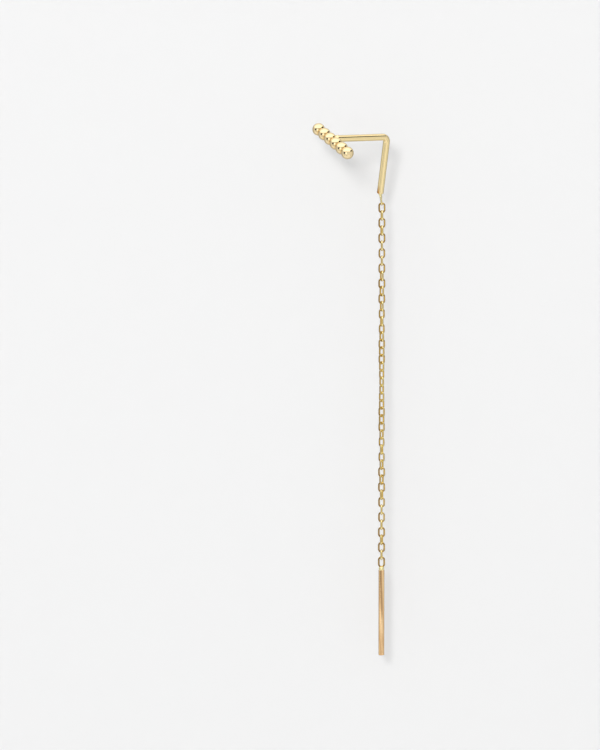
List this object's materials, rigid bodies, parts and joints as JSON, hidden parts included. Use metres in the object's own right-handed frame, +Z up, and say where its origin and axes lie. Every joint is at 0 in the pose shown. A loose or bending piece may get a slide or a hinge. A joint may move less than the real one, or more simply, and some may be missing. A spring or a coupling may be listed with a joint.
{
  "type": "threader earring",
  "caption": "Threader drop earring: a bar of polished beads on a bent ear wire, with a fine cable chain that ends in a plain threading stick.",
  "frame": {"origin": "middle of the post, on its axis, where the ear lobe sits", "axes": "+Z up, the chain hangs along -Z; +Y runs along the post from the bead bar to the bend behind the ear; +X is to the right of someone who faces the bar"},
  "size_m": [0.0082, 0.012, 0.0747],
  "materials": {
    "polished_gold": "pale yellow gold, mirror polished beads and wire, with small spots of paler solder",
    "chain_gold": "yellow gold chain wire, bright where the links rub and darker between them",
    "satin_gold": "warmer yellow gold, drawn and lightly brushed along its length, with a pale solder dome on top"
  },
  "bodies": {
    "hanger": {"beaded_ear_wire": "polished_gold", "chain": "chain_gold"},
    "drop": {"end_stick": "satin_gold"}
  },
  "joints": [
    {"name": "stick_swing", "type": "hinge", "parent": "hanger", "child": "drop", "pos_m": [-0.00267, 0.00592, -0.0592], "axis": [0.767, -0.6416, 0], "range_deg": [-90, 90]}
  ]
}
